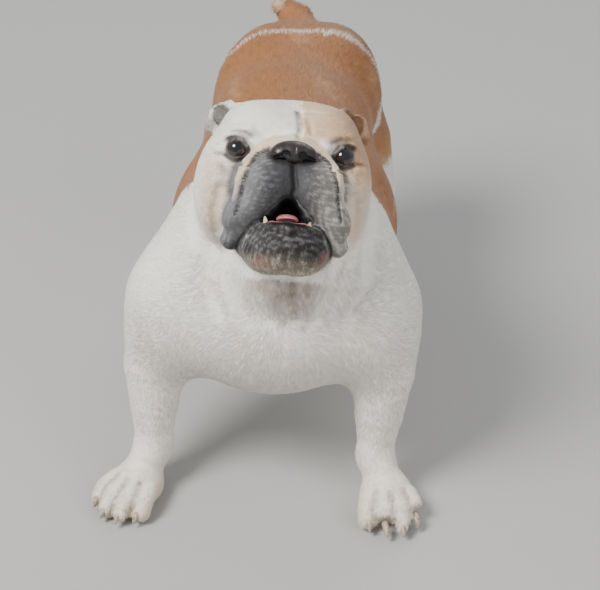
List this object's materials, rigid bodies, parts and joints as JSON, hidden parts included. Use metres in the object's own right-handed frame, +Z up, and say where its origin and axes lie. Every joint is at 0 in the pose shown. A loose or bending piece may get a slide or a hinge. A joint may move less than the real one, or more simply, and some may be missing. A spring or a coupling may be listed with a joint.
{
  "type": "english bulldog model",
  "caption": "Life-size standing bulldog with a raised head, wide shoulders and short forelegs set apart, for a museum display.",
  "frame": {"origin": "on the floor, under the middle of the bounding box", "axes": "the animal faces -Y, its left side is +X, +Z is up"},
  "size_m": [0.3682, 0.5708, 0.4686],
  "materials": {
    "white_coat": "short smooth coat",
    "tan_coat": "short smooth coat",
    "dark_coat": "very short coat over dark skin",
    "nose_leather": "moist pebbled skin",
    "eye": "glossy museum eye",
    "claw": "horn-like",
    "tooth": "worn enamel",
    "tongue": "moist skin"
  },
  "bodies": {
    "root": {"lower_jaw": "dark_coat", "eye_left": "eye", "eye_right": "eye", "head": "white_coat", "nose": "nose_leather", "ear_left": "white_coat", "ear_right": "white_coat", "canine_left": "tooth", "canine_right": "tooth", "tongue": "tongue", "neck": "white_coat", "trunk": "tan_coat", "tail": "tan_coat", "foreleg_left": "white_coat", "claw_foreleg_left_1": "claw", "claw_foreleg_left_2": "claw", "claw_foreleg_left_3": "claw", "claw_foreleg_left_4": "claw", "hindleg_left": "white_coat", "claw_hindleg_left_1": "claw", "claw_hindleg_left_2": "claw", "claw_hindleg_left_3": "claw", "claw_hindleg_left_4": "claw", "foreleg_right": "white_coat", "claw_foreleg_right_1": "claw", "claw_foreleg_right_2": "claw", "claw_foreleg_right_3": "claw", "claw_foreleg_right_4": "claw", "hindleg_right": "white_coat", "claw_hindleg_right_1": "claw", "claw_hindleg_right_2": "claw", "claw_hindleg_right_3": "claw", "claw_hindleg_right_4": "claw"}
  },
  "joints": []
}
